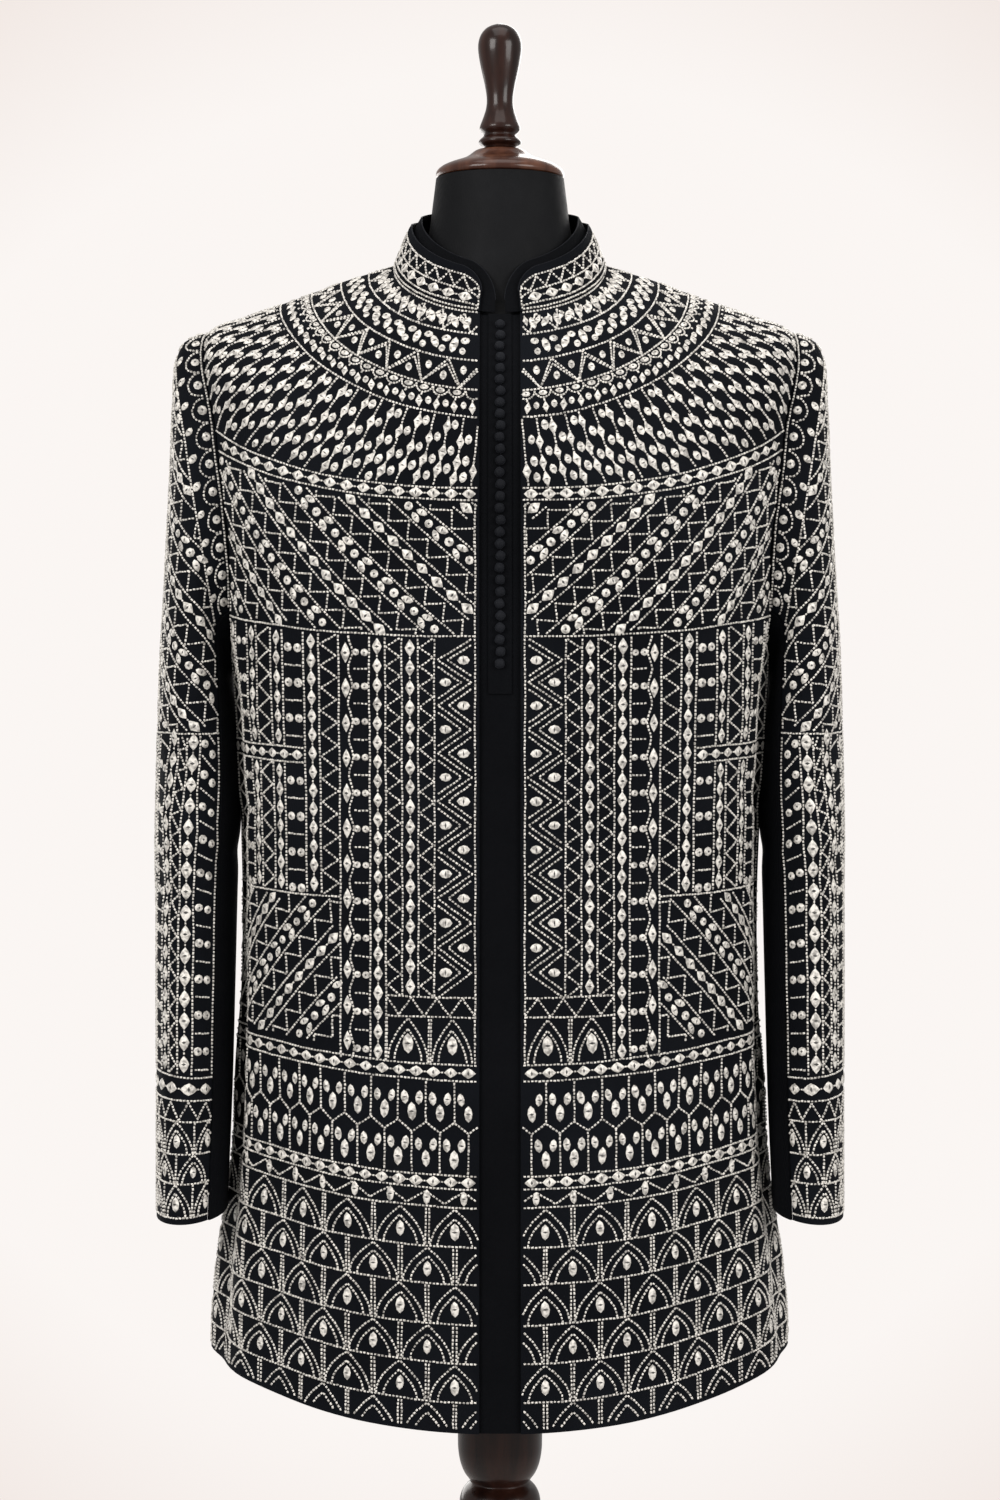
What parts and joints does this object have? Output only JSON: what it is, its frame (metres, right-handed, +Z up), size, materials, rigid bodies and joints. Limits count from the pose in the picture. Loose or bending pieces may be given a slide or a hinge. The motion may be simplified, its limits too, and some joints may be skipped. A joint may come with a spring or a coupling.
{
  "type": "indo-western jacket on a limbless dress form and stand",
  "caption": "Knee-length open jacket with standing collars, worked all over in beads and worn by a limbless dress form with a turned finial, column and round base.",
  "frame": {"origin": "on the floor, under the middle of the stand's round base", "axes": "+Z up, the jacket's front faces -Y, and +X is the wearer's left"},
  "size_m": [0.5252, 0.41, 1.6443],
  "materials": {
    "worked_cloth": "matte black cloth with a slight navy cast, ground of the beadwork",
    "plain_cloth": "matte plain black cloth",
    "button_thread": "black cloth covered dome buttons",
    "beads": "ivory and silver-grey pearl beads and drops",
    "bead_thread": "silver-grey couched thread",
    "form_cover": "matte black stretch cover",
    "dark_wood": "nearly black brown turned wood, glossy varnish",
    "cap_wood": "reddish brown turned wood, glossy varnish"
  },
  "bodies": {
    "root": {"front_left": "worked_cloth", "front_right": "worked_cloth", "back": "worked_cloth", "centre_panel": "plain_cloth", "button_placket": "plain_cloth", "collar": "worked_cloth", "inner_collar": "plain_cloth", "sleeve_top_left": "worked_cloth", "sleeve_top_right": "worked_cloth", "sleeve_under_left": "plain_cloth", "sleeve_under_right": "plain_cloth", "form_body": "form_cover", "neck_cap": "cap_wood", "finial": "dark_wood", "stand_column": "dark_wood", "stand_base": "dark_wood", "button_01": "button_thread", "button_02": "button_thread", "button_03": "button_thread", "button_04": "button_thread", "button_05": "button_thread", "button_06": "button_thread", "button_07": "button_thread", "button_08": "button_thread", "button_09": "button_thread", "button_10": "button_thread", "button_11": "button_thread", "button_12": "button_thread", "button_13": "button_thread", "button_14": "button_thread", "button_15": "button_thread", "button_16": "button_thread", "button_17": "button_thread", "button_18": "button_thread", "button_19": "button_thread", "button_20": "button_thread", "button_21": "button_thread", "button_22": "button_thread", "button_23": "button_thread", "button_24": "button_thread", "button_25": "button_thread", "button_26": "button_thread", "button_27": "button_thread", "button_28": "button_thread", "button_29": "button_thread", "button_30": "button_thread"}
  },
  "joints": []
}
